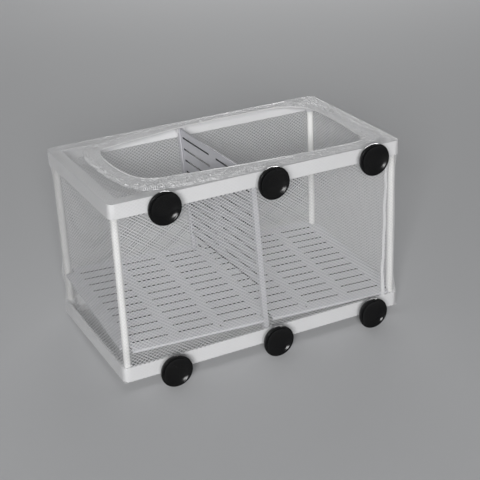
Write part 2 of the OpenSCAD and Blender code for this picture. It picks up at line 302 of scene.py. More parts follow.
def grain_group():
    """Fine grain as a height, and cloudy patches as a mask from 0 to 1."""
    group, source, result = new_group(
        "surface_grain",
        [("Grain Size", "NodeSocketFloat", 900.0), ("Patch Size", "NodeSocketFloat", 22.0),
         ("Stretch", "NodeSocketVector", (1.0, 1.0, 1.0))],
        [("Height", "NodeSocketFloat"), ("Patches", "NodeSocketFloat")])
    place = add_node(group, "TexCoord").outputs["Object"]
    place = add_node(group, "VectorMath", {0: place, 1: source["Stretch"]},
                     operation="MULTIPLY").outputs[0]
    fine = add_node(group, "TexNoise", {"Vector": place, "Scale": source["Grain Size"],
                                        "Detail": 3.0})
    cloud = add_node(group, "TexNoise", {"Vector": place, "Scale": source["Patch Size"],
                                         "Detail": 5.0, "Roughness": 0.62})
    patches = add_node(group, "MapRange", {"Value": cloud.outputs["Fac"],
                                           "From Min": PATCH_EDGES[0], "From Max": PATCH_EDGES[1]})
    feed(result, {"Height": fine.outputs["Fac"], "Patches": patches.outputs["Result"]})
    return group


def tint_group():
    """Mixes a clean colour and a second one by a mask: a handled tint in the finishes, painted shade
    on the boards.
    """
    group, source, result = new_group(
        "handled_and_shade_tint",
        [("Clean", "NodeSocketColor", (0.8, 0.8, 0.8, 1)),
         ("Handled And Shade", "NodeSocketColor", (0.74, 0.74, 0.73, 1)),
         ("Mask", "NodeSocketFloat", 0.5)],
        [("Color", "NodeSocketColor")])
    mix = add_node(group, "Mix", {"Factor": source["Mask"], "A": source["Clean"],
                                  "B": source["Handled And Shade"]}, data_type="RGBA")
    feed(result, {"Color": mix.outputs["Result"]})
    return group


def slot_group():
    """Mask of the cut walls of a board, inside a block given by its middle and half sizes."""
    group, source, result = new_group(
        "slot_walls",
        [("Board Normal", "NodeSocketVector", (0.0, 0.0, 1.0)),
         ("Middle", "NodeSocketVector", (0.0, 0.0, 0.0)),
         ("Half Size", "NodeSocketVector", (1.0, 1.0, 1.0))],
        [("Mask", "NodeSocketFloat")])

    def step(operation, *feeds, kind="Math"):
        return add_node(group, kind, dict(enumerate(feeds)), operation=operation).outputs

    place = add_node(group, "TexCoord").outputs
    lined_up = step("DOT_PRODUCT", place["Normal"], source["Board Normal"], kind="VectorMath")
    wall = step("LESS_THAN", step("ABSOLUTE", lined_up["Value"])[0], STEEP)[0]
    away = step("SUBTRACT", place["Object"], source["Middle"], kind="VectorMath")[0]
    away = step("ABSOLUTE", away, kind="VectorMath")[0]
    away = step("SUBTRACT", away, source["Half Size"], kind="VectorMath")[0]
    axes = add_node(group, "SeparateXYZ", {0: away}).outputs
    most = step("MAXIMUM", step("MAXIMUM", axes["X"], axes["Y"])[0], axes["Z"])[0]
    inside = step("LESS_THAN", most, 0.0)[0]
    feed(result, {"Mask": step("MULTIPLY", wall, inside)[0]})
    return group


GRAIN, TINT, SLOTS = grain_group(), tint_group(), slot_group()
print("node groups:", GRAIN.name, TINT.name, SLOTS.name)

# %% [markdown]
# ## Plastics, rubber, nylon and elastic
# The frames are satin white mouldings. The rods and channels are drawn, so their grain runs
# along their length. The boards are cut from a cooler, greyer sheet that is more matt. The cups
# are soft black vinyl with a wet gloss. Nylon thread is bright and slightly sheeny. One function
# makes them all, because they differ only in a few values.

# %% Make the materials
DRAWN_GRAIN = (1, 1, 0.03)


def finish(name, clean, handled, roughness, grain=900.0, patch=22.0, stretch=(1, 1, 1),
           bump=0.04, depth=0.05 * MM, spread=0.08, **sockets):
    """Material with grain, patches of other gloss and tint, and its own socket values."""
    material, tree, shader = new_material(name)
    effect = add_node(tree, "Group", {"Grain Size": grain, "Patch Size": patch,
                                      "Stretch": stretch}, node_tree=GRAIN).outputs
    tint = add_node(tree, "Group", {"Clean": (*clean, 1), "Handled And Shade": (*handled, 1),
                                    "Mask": effect["Patches"]}, node_tree=TINT)
    gloss = add_node(tree, "MapRange", {"Value": effect["Patches"], "To Min": roughness,
                                        "To Max": roughness + spread})
    relief = add_node(tree, "Bump", {"Height": effect["Height"], "Strength": bump,
                                     "Distance": depth})
    feed(shader, {"Base Color": tint.outputs["Color"], "Roughness": gloss.outputs["Result"],
                  "Normal": relief.outputs["Normal"]})
    feed(shader, {socket.replace("_", " "): value for socket, value in sockets.items()})
    return material


frame_plastic = finish("frame_plastic", (0.79, 0.79, 0.795), (0.75, 0.752, 0.758), 0.36,
                       patch=16.0, bump=0.25)
post_plastic = finish("post_plastic", (0.92, 0.92, 0.90), (0.88, 0.88, 0.86), 0.3,
                      grain=700.0, stretch=DRAWN_GRAIN, bump=0.35)
guide_plastic = finish("guide_plastic", (0.62, 0.62, 0.65), (0.57, 0.57, 0.60), 0.36,
                       grain=700.0, stretch=DRAWN_GRAIN, bump=0.35)
floor_plastic = finish("floor_plastic", (0.67, 0.67, 0.70), (0.62, 0.62, 0.65), 0.42,
                       grain=1500.0, patch=12.0, bump=0.35)
divider_plastic = finish("divider_plastic", (0.62, 0.62, 0.65), (0.57, 0.57, 0.60), 0.38,
                         grain=1500.0, patch=15.0, bump=0.35)
cup_rubber = finish("cup_rubber", (0.004, 0.004, 0.0045), (0.007, 0.007, 0.007), 0.13,
                    grain=420.0, patch=60.0, bump=0.1, spread=0.12, Specular_IOR_Level=0.2)
net_nylon = finish("net_nylon", (0.81, 0.81, 0.82), (0.77, 0.77, 0.78), 0.42,
                   patch=30.0, bump=0.1, Sheen_Weight=0.1)
# The hem's thread is the net's nylon painted paler: painted light for the glints of the gathered
# fold.
hem_nylon_painted_light = finish("hem_nylon_painted_light", (0.89, 0.89, 0.90), (0.84, 0.84, 0.85), 0.45,
                   patch=40.0, bump=0.1, Sheen_Weight=0.15)
hem_elastic = finish("hem_elastic", (0.84, 0.84, 0.84), (0.76, 0.76, 0.76), 0.6,
                     grain=2500.0, patch=90.0, bump=0.8, depth=0.2 * MM, Sheen_Weight=0.3)


def dress(piece, material):
    """Gives a piece its finish."""
    piece.data.materials.clear()
    piece.data.materials.append(material)
    return piece


print("finishes:", ", ".join(m.name for m in bpy.data.materials))

# %% [markdown]
# ## The rods and channels
# The rods and the channels are plain drawn sections, and the frame holds them as they are. They
# only need their finish, whose grain is stretched along their length.

# %% Finish the rods and channels
for names, material in ((POSTS, post_plastic), (GUIDES, guide_plastic)):
    for name in names:
        dress(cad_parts[name], material)
print("rods and channels:", len(POSTS), "and", len(GUIDES))

# %% [markdown]
# ## The two boards
# The floor and the divider are die-cut from one cool white sheet. All their slots are in the
# frame already. The slots look dark on the real boards, because little light gets into a cut that
# is as narrow as it is deep, so their walls are given painted shade that stands in for it. Painting
# those walls by their direction is easier than picking faces: a wall is where the surface doesn't
# face the way that the board faces. The outer edges are left unpainted, so the mask is kept to a
# block inside them. The divider's foot, which hangs close over the wet floor, gets a thin line of
# painted shadow that stands in for the shadow in the gap beneath it.

# %% Finish the boards
# Painted shade for the walls of the slots, where little light gets in.
SLOT_WALL_SHADE = (0.035, 0.035, 0.04)
EDGE = 2.5 * MM
ANY_DEPTH = 1.0
# Painted shadow along the divider's foot: how high it reaches and its colour.
FOOT, FOOT_SHADOW_LINE = 1.7 * MM, (0.06, 0.06, 0.07)


def corners(node):
    """All points of a node, as an array."""
    return np.array([tuple(v.co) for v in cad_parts[node].data.vertices])


def board_plane(points):
    """Middle of a flat board and the direction that it faces."""
    middle = (points.min(0) + points.max(0)) / 2
    _, _, axes = np.linalg.svd(points - points.mean(0), full_matrices=False)
    return middle, axes[2]


def paint_over(material, mask, colour):
    """Lays a colour over a material's own wherever a mask is 1; on the boards it paints shade."""
    tree = material.node_tree
    base = tree.nodes["Principled BSDF"].inputs["Base Color"]
    tint = add_node(tree, "Group", {"Clean": base.links[0].from_socket, "Handled And Shade": (*colour, 1),
                                    "Mask": mask}, node_tree=TINT)
    tree.links.new(tint.outputs["Color"], base)


def below(material, height):
    """Mask of what lies below a height."""
    tree = material.node_tree
    axes = add_node(tree, "SeparateXYZ", {0: add_node(tree, "TexCoord").outputs["Object"]})
    return add_node(tree, "Math", {0: axes.outputs["Z"], 1: height},
                    operation="LESS_THAN").outputs[0]


for name, material in (("divider_board", divider_plastic), ("floor_plate", floor_plastic)):
    points = corners(name)
    middle, facing_way = board_plane(points)
    half = (points.max(0) - points.min(0)) / 2
    half = np.where(half > 10 * EDGE, half - EDGE, ANY_DEPTH)
    walls = add_node(material.node_tree, "Group", {"Board Normal": facing_way, "Middle": middle,
                                                   "Half Size": half}, node_tree=SLOTS)
    # Paint shade on the slot walls.
    paint_over(material, walls.outputs["Mask"], SLOT_WALL_SHADE)
    dress(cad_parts[name], material)
    print(name, "faces", np.round(facing_way, 3))
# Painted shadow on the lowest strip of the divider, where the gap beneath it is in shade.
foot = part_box("divider_board")[0].z + FOOT
paint_over(divider_plastic, below(divider_plastic, foot), FOOT_SHADOW_LINE)

# %% [markdown]
# ## The frames
# A moulded frame has no sharp edge: the tool's corners and the shrinking plastic leave a small
# round, which catches a thin line of light. The mesh of the frame may not be changed, but
# modifiers may sit on it. Its doubled points are welded and its flat faces joined first, so that
# only real edges are left for the bevel.

# %% Soften the frames
EDGE_ROUND = 0.55 * MM
for name in ("top_frame", "bottom_frame"):
    moulding = dress(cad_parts[name], frame_plastic)
    weld = moulding.modifiers.new("weld", "WELD")
    weld.merge_threshold = 0.002 * MM
    flat = moulding.modifiers.new("join flat faces", "DECIMATE")
    flat.decimate_type = "DISSOLVE"
    flat.angle_limit = math.radians(2)
    bevel = moulding.modifiers.new("soft edges", "BEVEL")
    bevel.width = EDGE_ROUND
    bevel.segments = 3
    bevel.limit_method = "ANGLE"
    bevel.angle_limit = math.radians(50)
    bevel.use_clamp_overlap = True
    bevel.harden_normals = True
print("edges rounded by", EDGE_ROUND / MM, "mm")

# %% [markdown]
# ## The suction cups
# A cup is one soft moulding: a shallow bowl with a flat lip, a flared back, a collar, a neck and
# a button head behind the frame. All of it is round, so one half section is turned about the
# neck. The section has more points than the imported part, so the gloss runs without facets.

# %% Turn the cups
CUP_STEPS = 72
CUP_DEPTH = 14.0
WELD = 0.003 * MM


def turned(name, section, place):
    """Solid of revolution about +Y from (radius, distance) points, closed on its axis."""
    section = np.maximum(np.array(section), (1e-6, -1.0))
    angles = np.linspace(0, 2 * math.pi, CUP_STEPS, endpoint=False)
    rings = np.stack([np.outer(section[:, 0], np.cos(angles)),
                      np.outer(section[:, 1], np.ones(CUP_STEPS)),
                      np.outer(section[:, 0], np.sin(angles))], -1)
    i, k = np.meshgrid(np.arange(len(section) - 1), np.arange(CUP_STEPS), indexing="ij")
    here, there = i * CUP_STEPS + k, i * CUP_STEPS + (k + 1) % CUP_STEPS
    faces = np.stack([here, here + CUP_STEPS, there + CUP_STEPS, there], -1).reshape(-1, 4)
    made = mesh_object(name, rings.reshape(-1, 3) + np.array(place), faces, smooth=True)
    kept = bmesh.new()
    kept.from_mesh(made.data)
    bmesh.ops.remove_doubles(kept, verts=kept.verts, dist=WELD)
    kept.to_mesh(made.data)
    kept.free()
    return made


def arc(cx, cy, r, start, end, steps):
    """Points on an arc, angles in degrees."""
    return [(cx + r * math.cos(math.radians(a)), cy + r * math.sin(math.radians(a)))
            for a in np.linspace(start, end, steps)]


def cup_section(lip_r, depth, total):
    """Half section of a cup, in millimetres, from the middle of its bowl round to the head."""
    rim, bowl, flare, collar_r, neck_r, head_r, head_t = 1.2, 3.1, 8.5, 4.5, 2.5, 3.9, 1.8
    soft, lip_t, collar_soft = 0.3, 0.7, 0.5
    # The bowl is flat in its middle and steep at the lip, whose edge is rounded.
    inner = [((lip_r - rim) * t, bowl * (1 - t ** 4)) for t in np.linspace(0, 1, 21)[1:]]
    lip = [(lip_r - rim * 0.6, 0.0), (lip_r - soft, 0.0)] + arc(lip_r - soft, soft, soft, -60, 30, 4)
    # The back flares in to the collar along a quarter of an ellipse.
    outer = arc(0.0, 0.0, 1.0, 4, 84, 16)
    outer = [(collar_r + soft + (lip_r - collar_r - soft) * x, lip_t + (flare - lip_t) * y)
             for x, y in outer]
    collar = [(collar_r, flare + 1.0), (collar_r, depth - collar_soft)]
    collar += arc(collar_r - collar_soft, depth - collar_soft, collar_soft, 15, 90, 4)
    # Behind the collar come the thin neck and a button head with a low dome.
    neck = [(neck_r + 0.2, depth), (neck_r, depth + 0.15), (neck_r, total - head_t - 0.05)]
    head = [(neck_r + 0.15, total - head_t), (head_r - 0.25, total - head_t)]
    head += arc(head_r - soft, total - head_t + soft, soft, -60, 60, 4)
    head += [(head_r * x * 0.96, total + head_t * 0.6 * (y - 1)) for x, y in arc(0, 0, 1, 20, 84, 6)]
    section = [(0.0, bowl)] + inner + lip + outer + collar + neck + head + [(0.0, total)]
    return [(r * MM, d * MM) for r, d in section]


for name in CUPS:
    low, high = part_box(name)
    cup = turned(name.replace("suction_", "") + "_moulding",
                 cup_section((high.x - low.x) / 2 / MM, CUP_DEPTH, (high.y - low.y) / MM),
                 cup_axis(name))
    dress(cup, cup_rubber)
    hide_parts(name)
    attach(cup, name.replace("suction_cup", "cup"))
print("cups turned:", len(CUPS))

# %% [markdown]
# ## The shape of the net bag
# The bag is drawn tight over the outside of the frames, so its walls follow a rounded rectangle
# as a path all the way round. At the top it turns in over the flange and is drawn together by
# the elastic. The mouth is no true oval, because the net was pulled on by hand, so its outline is
# a smooth curve through a few points that were measured from the sides of the frames.

# %% Outline of the bag
NET_OUT = 0.22 * MM
SIDE_L = HALF_L + NET_OUT
SIDE_W = HALF_W + NET_OUT
ROUND = CORNER + NET_OUT
STRAIGHT = (2 * (SIDE_L - ROUND), 2 * (SIDE_W - ROUND))
QUARTER = ROUND * math.pi / 2
GIRTH = 2 * sum(STRAIGHT) + 4 * QUARTER
FACINGS = [((0, -1), (1, 0)), ((1, 0), (0, 1)), ((0, 1), (-1, 0)), ((-1, 0), (0, -1))]


def outline(s):
    """Points and outward normals at distances s round the bag, from the front left corner's
    middle, anticlockwise seen from above: front, right, back, left."""
    s = np.asarray(s, float) % GIRTH
    point = np.zeros(s.shape + (2,))
    normal = np.zeros(s.shape + (2,))
    start = 0.0
    for i, (out, along) in enumerate(np.array(FACINGS, float)):
        length = STRAIGHT[i % 2]
        reach = (SIDE_W, SIDE_L)[i % 2]
        for part, span in (("in", QUARTER / 2), ("flat", length), ("out", QUARTER / 2)):
            here = (s >= start - 1e-12) & (s <= start + span + 1e-12)
            t = s[here] - start
            if part == "flat":
                point[here] = reach * out + np.outer(t - length / 2, along)
                normal[here] = out
            else:
                turned_by = (t - span if part == "in" else t) / ROUND
                end = -length / 2 if part == "in" else length / 2
                way = np.outer(np.cos(turned_by), out) + np.outer(np.sin(turned_by), along)
                point[here] = (reach - ROUND) * out + end * along + ROUND * way
                normal[here] = way
            start += span
    return point, normal


SIDES = {"front": (0, STRAIGHT[0] + QUARTER)}
SIDES["right"] = (SIDES["front"][1], SIDES["front"][1] + STRAIGHT[1] + QUARTER)
SIDES["back"] = (SIDES["right"][1], SIDES["right"][1] + STRAIGHT[0] + QUARTER)
SIDES["left"] = (SIDES["back"][1], GIRTH)
print("round the bag:", round(GIRTH / MM), "mm")

# %% Outline of the mouth
HEM_FROM_SIDES = np.array([
    (20, 69), (20.5, 44), (28.5, 26.5), (44.5, 15.5), (82.5, 13), (132.5, 13.5),
    (-92.5, 19), (-52.5, 26.5), (-37, 33), (-33, 59), (-36, -54), (-48, -33),
    (-72.5, -27), (-122.5, -20), (82.5, -15.5), (37.5, -14), (25.5, -20), (22, -44)]) * MM
HEM_NODES = np.sign(HEM_FROM_SIDES) * (HALF_L, HALF_W) - HEM_FROM_SIDES
MOUTH = np.array([8.0, 4.5]) * MM
MOUTH_STEPS, AHEAD = 120, 0.5 * MM


def smooth_curve(nodes, steps, closed=True):
    """Smooth curve through points, with steps points to each stretch."""
    t = np.linspace(0, 1, steps, endpoint=False)[:, None]
    a, b, c, d = (np.roll(nodes, k, axis=0)[:, None] for k in (1, 0, -1, -2))
    curve = 2 * b + (c - a) * t + (2 * a - 5 * b + 4 * c - d) * t ** 2
    curve = (curve + (3 * b - a - 3 * c + d) * t ** 3) / 2
    kept = curve if closed else curve[1:-2]
    return kept.reshape(-1, nodes.shape[1])


MOUTH_POINTS = smooth_curve(HEM_NODES, MOUTH_STEPS)
MOUTH_POINTS = np.concatenate([MOUTH_POINTS, MOUTH_POINTS[:1]])
MOUTH_ANGLES = np.unwrap(np.arctan2(*(MOUTH_POINTS - MOUTH).T[::-1]))
MOUTH_WALK = np.append(0, np.cumsum(np.linalg.norm(np.diff(MOUTH_POINTS, axis=0), axis=1)))
MOUTH_LENGTH = float(MOUTH_WALK[-1])


def hem_at(points):
    """Points of the hem that lie in the same direction from the mouth's middle as these."""
    angle = np.arctan2(points[..., 1] - MOUTH[1], points[..., 0] - MOUTH[0])
    angle = (angle - MOUTH_ANGLES[0]) % (2 * math.pi) + MOUTH_ANGLES[0]
    return np.stack([np.interp(angle, MOUTH_ANGLES, MOUTH_POINTS[:, i]) for i in (0, 1)], -1)


def hem_along(way):
    """Points of the hem and its outward normals at distances along it."""
    way = np.asarray(way) % MOUTH_LENGTH
    spots = [np.stack([np.interp((way + shift) % MOUTH_LENGTH, MOUTH_WALK, MOUTH_POINTS[:, i])
                       for i in (0, 1)], -1) for shift in (-AHEAD, 0, AHEAD)]
    along = spots[2] - spots[0]
    out = np.stack([along[..., 1], -along[..., 0]], -1)
    return spots[1], out / np.linalg.norm(out, axis=-1, keepdims=True)


print("round the mouth:", round(MOUTH_LENGTH / MM), "mm")

# %% [markdown]
# ## Threads
# The net is knitted, not woven: each upright thread swings left and right, and is looped to one
# neighbour at one swing and to the other at the next. That leaves six-sided holes in slanting
# rows. A sheet with holes in its alpha could show this too, but real threads shade themselves and
# catch the light where the cloth turns. Each is a three-sided rod along a zigzag of points, so
# even hundreds of them are cheap. Cloth that is crumpled or doubled is made of flat ribbons
# instead, woven both ways, because a ribbon shades as the cloth under it does. The flat side of
# each rod faces outwards, as a pulled thread flattens against what is under it.

# %% Make threads along rows of points
COLUMN, ROW = 1.95 * MM, 1.5 * MM
SWING, PROUD = 0.47, 1.2
KNIT = (0.38 * MM, 0.12 * MM)
RING = np.radians([30, 150, 270])


def cloth_normals(rows):
    """Outward normals of the cloth under a grid of points, (threads, points, 3)."""
    across, along = np.gradient(rows, axis=0), np.gradient(rows, axis=1)
    normals = np.cross(along, across)
    normals /= np.maximum(np.linalg.norm(normals, axis=2, keepdims=True), 1e-15)
    outward = rows - np.array([0, 0, Z_TOP / 2])
    return normals * np.where((normals * outward).sum(2, keepdims=True) < 0, -1, 1)


def rods(rows, half_width, half_height, lift):
    """Three-sided rods on a grid of points, lifted off it, as vertices and faces."""
    normals = cloth_normals(rows)
    along = np.gradient(rows, axis=1)
    along /= np.maximum(np.linalg.norm(along, axis=2, keepdims=True), 1e-12)
    side = np.cross(along, normals)
    side /= np.maximum(np.linalg.norm(side, axis=2, keepdims=True), 1e-12)
    ring = (half_width * np.cos(RING)[:, None] * side[..., None, :]
            + half_height * np.sin(RING)[:, None] * normals[..., None, :])
    points = (rows + normals * lift)[..., None, :] + ring
    threads, count = rows.shape[:2]
    base = (np.arange(threads)[:, None, None] * count + np.arange(count - 1)[None, :, None]) * 3
    k = np.arange(3)
    n = (k + 1) % 3
    quads = np.stack([base + k, base + n, base + 3 + n, base + 3 + k], -1).reshape(-1, 4)
    return points.reshape(-1, 3), quads


def knitted(surface, columns, rows):
    """Zigzag threads on a surface(u, v), looped to their left and right neighbours by turns."""
    side = 1 - 2 * (np.add.outer(np.arange(len(columns)), np.arange(len(rows))) % 2)
    swing = SWING * (columns[1] - columns[0]) * side
    return [rods(surface(columns[:, None] + swing, rows[None, :] + 0 * swing), *KNIT, 0.0)]


def woven(surface, u_rows, u_points, v_rows, v_points, half_width, half_height):
    """Threads of both directions on a surface(u, v), the second family a little proud."""
    families = []
    for rows, points, swapped, lift in ((u_rows, u_points, False, 0.0),
                                        (v_rows, v_points, True, PROUD * half_height)):
        a, b = np.meshgrid(rows, points, indexing="ij")
        grid = surface(b, a) if swapped else surface(a, b)
        families.append(rods(grid, half_width, half_height, lift))
    return families


def net_object(name, families):
    """One mesh from several families of rods."""
    points, quads, offset = [], [], 0
    for spots, faces in families:
        points.append(spots)
        quads.append(faces + offset)
        offset += len(spots)
    return mesh_object(name, np.concatenate(points), np.concatenate(quads))


def spaced(low, high, step, ends=True):
    """Evenly spaced values from low to high, about a step apart."""
    count = max(2, int(round((high - low) / step)) + 1)
    values = np.linspace(low, high, count)
    return values if ends else (values[:-1] + values[1:]) / 2


print("holes", round(COLUMN / MM, 1), "mm apart in rows of", round(2 * ROW / MM, 1), "mm")

# %% [markdown]
# ## Smooth and ridged noise
# Cloth never lies quite flat. Wide, weak waves are plain noise. Creases are ridged noise: the
# folded-over size of the same noise, which is sharp along its crests and round in its valleys,
# as pinched cloth is. Both are looked up point by point, so they give the same cloth each time.

# %% Noise for cloth
NOISE_GAIN, CREST = 1.6, 1.5


def ripple(x, y, seed, cell=(1.0, 1.0)):
    """Smooth noise from about -1 to 1 at pairs of the arrays x and y, in cells of a given size."""
    x, y = np.broadcast_arrays(np.divide(x, cell[0]), np.divide(y, cell[1]))
    flat = [noise.noise(Vector((a, b, seed))) for a, b in zip(x.ravel(), y.ravel())]
    return np.reshape(flat, x.shape) * NOISE_GAIN


def ridges(x, y, seed, cell=(1.0, 1.0)):
    """Creases from 0 to 1, sharp along their crests."""
    return np.clip(1 - CREST * np.abs(ripple(x, y, seed, cell)), 0, 1)


def bump(x, middle, width):
    """Smooth hill of height 1."""
    return np.exp(-((x - middle) / width) ** 2)


print("noise at one point:", round(float(ripple(0.3, 0.4, seed=1.7)), 3))

# %% [markdown]
# ## The walls of the bag
# The net is stretched over the frames, but between them only the four rods hold it out. Its
# corners are drawn in until they lie on the rods, two millimetres inside the frames, and the flat
# sides follow part of the way. The edge of the floor plate holds it out along a slanting line,
# which shows in the outline as a bulge at the plate's high corner. The plate's height there is
# read from the plate itself. Small waves keep the sides from looking ruled, and the low corner and
# the foot of the high one are creased.

# %% Shape of the walls
plate_points = corners("floor_plate")
plate_slope = np.linalg.lstsq(np.c_[plate_points[:, :2], np.ones(len(plate_points))],
                              plate_points[:, 2], rcond=None)[0]
DRAWN_IN, FLAT_SHARE = 2.1 * MM, 0.5
ROUND_ROD = 5.0 * MM
CORNER_REACH = 26 * MM
HELD_OUT, HELD_SLOPE, HELD_SOFT = 0.35 * MM, 0.13, 0.3 * MM
WAVE, WAVE_CELL, WAVE_START = 0.30 * MM, (29 * MM, 46 * MM), 14 * MM
BULGE, PUCKER, CREASE = 0.9 * MM, 0.9 * MM, 0.5 * MM
PUCKER_CELL, CREASE_CELL = (3.0 * MM, 9 * MM), (3.5 * MM, 16 * MM)
WALL_LOW, WALL_TOP = Z_LOW - NET_OUT, Z_TOP + NET_OUT
FREE_LOW, FREE_TOP = Z_LOW + SKIRT, Z_TOP - SKIRT
HIGH_CORNER, LOW_CORNER = (-HALF_L, HALF_W), (HALF_L, -HALF_W)
# Where folds are: at which corner, how high up, and how far they spread sideways and upwards.
BULGE_AT = (HIGH_CORNER, 39 * MM, 9 * MM, 6 * MM)
PUCKER_AT = (LOW_CORNER, 15 * MM, 13 * MM, 8 * MM)
CREASE_AT = (HIGH_CORNER, 9 * MM, 34 * MM, 9 * MM)


def drawn_in(flat, z):
    """How far the net is drawn in at plan points and heights."""
    free = np.clip(np.minimum(z - FREE_LOW, FREE_TOP - z), 0, None)
    corner_x, corner_y = HALF_L - np.abs(flat[..., 0]), HALF_W - np.abs(flat[..., 1])
    near = bump(np.hypot(corner_x, corner_y), 0, CORNER_REACH)
    pull = DRAWN_IN * (1 - np.exp(-free / ROUND_ROD)) * (FLAT_SHARE + (1 - FLAT_SHARE) * near)
    plate_z = flat[..., 0] * plate_slope[0] + flat[..., 1] * plate_slope[1] + plate_slope[2]
    held = HELD_OUT + HELD_SLOPE * np.abs(z - plate_z)
    return (pull + held - np.sqrt((pull - held) ** 2 + HELD_SOFT ** 2)) / 2


def at_corner(folds, flat, z, corner, height, across, upward):
    """Folds that fade out away from a corner of the box and from a height on it."""
    away = np.hypot(flat[..., 0] - corner[0], flat[..., 1] - corner[1])
    return folds * bump(away, 0, across) * bump(z, height, upward)


def wall(s, z):
    """Points of the bag's wall at distances s and heights z (arrays alike)."""
    flat, normal = outline(s)
    free = np.clip(np.minimum(z - FREE_LOW, FREE_TOP - z) / WAVE_START, 0, 1)
    waves = free * ripple(s, z, seed=1.7, cell=WAVE_CELL)
    bulge = at_corner(1.0, flat, z, *BULGE_AT)
    puckers = at_corner(ridges(s, z, seed=6.1, cell=PUCKER_CELL), flat, z, *PUCKER_AT)
    creases = at_corner(ridges(s + z, s - z, seed=9.3, cell=CREASE_CELL), flat, z, *CREASE_AT)
    shift = WAVE * waves - drawn_in(flat, z) + BULGE * bulge + PUCKER * puckers + CREASE * creases
    return np.concatenate([flat + normal * np.maximum(shift, -DRAWN_IN)[..., None],
                           z[..., None]], -1)


print("the net is drawn in by up to", DRAWN_IN / MM, "mm")

# %% [markdown]
# ## Knitting the walls
# Each wall is one panel of the net. The front one also has the seam that closes the bag, a
# puckered strip of doubled cloth beside the right rod.

# %% Knit the walls
SEAM_X = (115.8 * MM, 120.3 * MM)
SEAM_W, SEAM_PROUD, SEAM_PUCKER = 2.4 * MM, 0.25 * MM, 0.6 * MM
SEAM_WAVERS, SEAM_FOLDS = 0.5 * MM, 1.7
SEAM_THREADS, SEAM_POINTS, SEAM_ROWS = np.linspace(0, 1, 6), 0.9 * MM, 0.8 * MM
RIBBON = (0.23 * MM, 0.03 * MM)


def seam(u, z):
    """Points of the seam, u across it from 0 to 1."""
    share = (z - Z_LOW) / (Z_TOP - Z_LOW)
    x = SEAM_X[0] + (SEAM_X[1] - SEAM_X[0]) * share
    x = x + SEAM_WAVERS * ripple(z, 0, seed=4.4, cell=(18 * MM, 1)) + (u - 0.5) * SEAM_W
    on_wall = wall(QUARTER / 2 + x + STRAIGHT[0] / 2, z)
    fold = ridges(u * SEAM_FOLDS, z, seed=7.7, cell=(1, 2.3 * MM))
    return np.stack([x, on_wall[..., 1] - SEAM_PROUD - SEAM_PUCKER * fold, z], -1)


for side, (begin, end) in SIDES.items():
    families = knitted(wall, spaced(begin, end, COLUMN, ends=False),
                       spaced(WALL_LOW, WALL_TOP, ROW))
    if side == "front":
        families += woven(seam, SEAM_THREADS, spaced(FREE_LOW, FREE_TOP, SEAM_POINTS),
                          spaced(FREE_LOW, FREE_TOP, SEAM_ROWS), SEAM_THREADS, *RIBBON)
    net = net_object(f"net_wall_{side}", families)
    dress(net, net_nylon)
    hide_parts(f"net_{side}")
    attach(net, "box")
    print(net.name, "faces:", len(net.data.polygons))

# %% Knit the bottom


def underside(x, y):
    """Points of the bottom panel."""
    return np.stack([x, y, np.full(x.shape, Z_LOW - 2 * KNIT[1])], -1)


net = net_object("net_under", knitted(underside, spaced(-SIDE_L, SIDE_L, COLUMN, ends=False),
                                      spaced(-SIDE_W, SIDE_W, ROW)))
dress(net, net_nylon)
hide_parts("net_bottom")
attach(net, "box")
print(net.name, "faces:", len(net.data.polygons))

# %% [markdown]
# ## The turned-in top
# The wall's cloth goes on over the flange and in to the elastic. One layer of it is sheer: the
# box shows through between the flange and the hem. Along the back, where the cloth was bunched
# up on the flange, it lies in long folds beside the rim.

# %% Knit the turned-in top
GATHER, LONG_FOLD = 0.18 * MM, 0.75 * MM
RIM_ROUND, BACK_REACH = 1.5 * MM, 22 * MM


def turned_in(s, t):
    """Points of the top at distances s and shares t of the way to the hem."""
    rim, _ = outline(s)
    edge = hem_at(rim)
    depth = np.linalg.norm(edge - rim, axis=-1)
    flat = rim + (edge - rim) * t[..., None]
    settle = np.minimum(t * depth / RIM_ROUND, 1.0)
    at_back = bump(np.clip(HALF_W - flat[..., 1], 0, None), 0, BACK_REACH)
    gathers = ridges(s, t * depth, seed=3.1, cell=(4.5 * MM, 11 * MM))
    folds = ridges(s, t * depth, seed=8.4, cell=(42 * MM, 3.2 * MM))
    height = settle * (GATHER * gathers + LONG_FOLD * folds * at_back)
    return np.concatenate([flat, (Z_TOP + NET_OUT + height)[..., None]], -1)


for side, (begin, end) in SIDES.items():
    rim, _ = outline(np.linspace(begin, end, 400))
    depth = float(np.linalg.norm(hem_at(rim) - rim, axis=1).mean())
    families = knitted(turned_in, spaced(begin, end, COLUMN, ends=False),
                       spaced(0, 1, ROW / depth))
    net = net_object(f"net_top_{side}", families)
    dress(net, net_nylon)
    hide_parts(f"net_flap_{side}")
    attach(net, "box")
    print(net.name, "depth", round(depth / MM, 1), "mm, faces:", len(net.data.polygons))

# %% [markdown]
# ## The folded hem
# At the mouth the cloth is folded back on itself and stitched, to make a tunnel for the elastic.
# The fold is fourteen millimetres wide, but along the front it was pulled out nearly to the rim.
# Doubled and gathered cloth lets little light through, so this band looks paler than the sheer
# net beside it. Its thread is also painted paler than the net's: painted light that stands in for
# the glints of the gathered fold. The line of stitches puckers it into a crinkled, glittering edge,
# and along the left of the front the whole band is crushed. Ribbons, closer together than the net's
# threads, show both the doubled cloth and its creases.

# %% Size of the hem's fold
HEM_FOLD, HEM_STEP = 14 * MM, 0.7 * MM
FRONT_Y, FRONT_END = -52 * MM, 20 * MM
RIM_ROOM, RIM_ROOM_IN_FRONT = 2.5 * MM, 0.75 * MM
WIDER, WIDER_BAND, RAGGED = 0.45, (-86 * MM, 42 * MM), 0.08


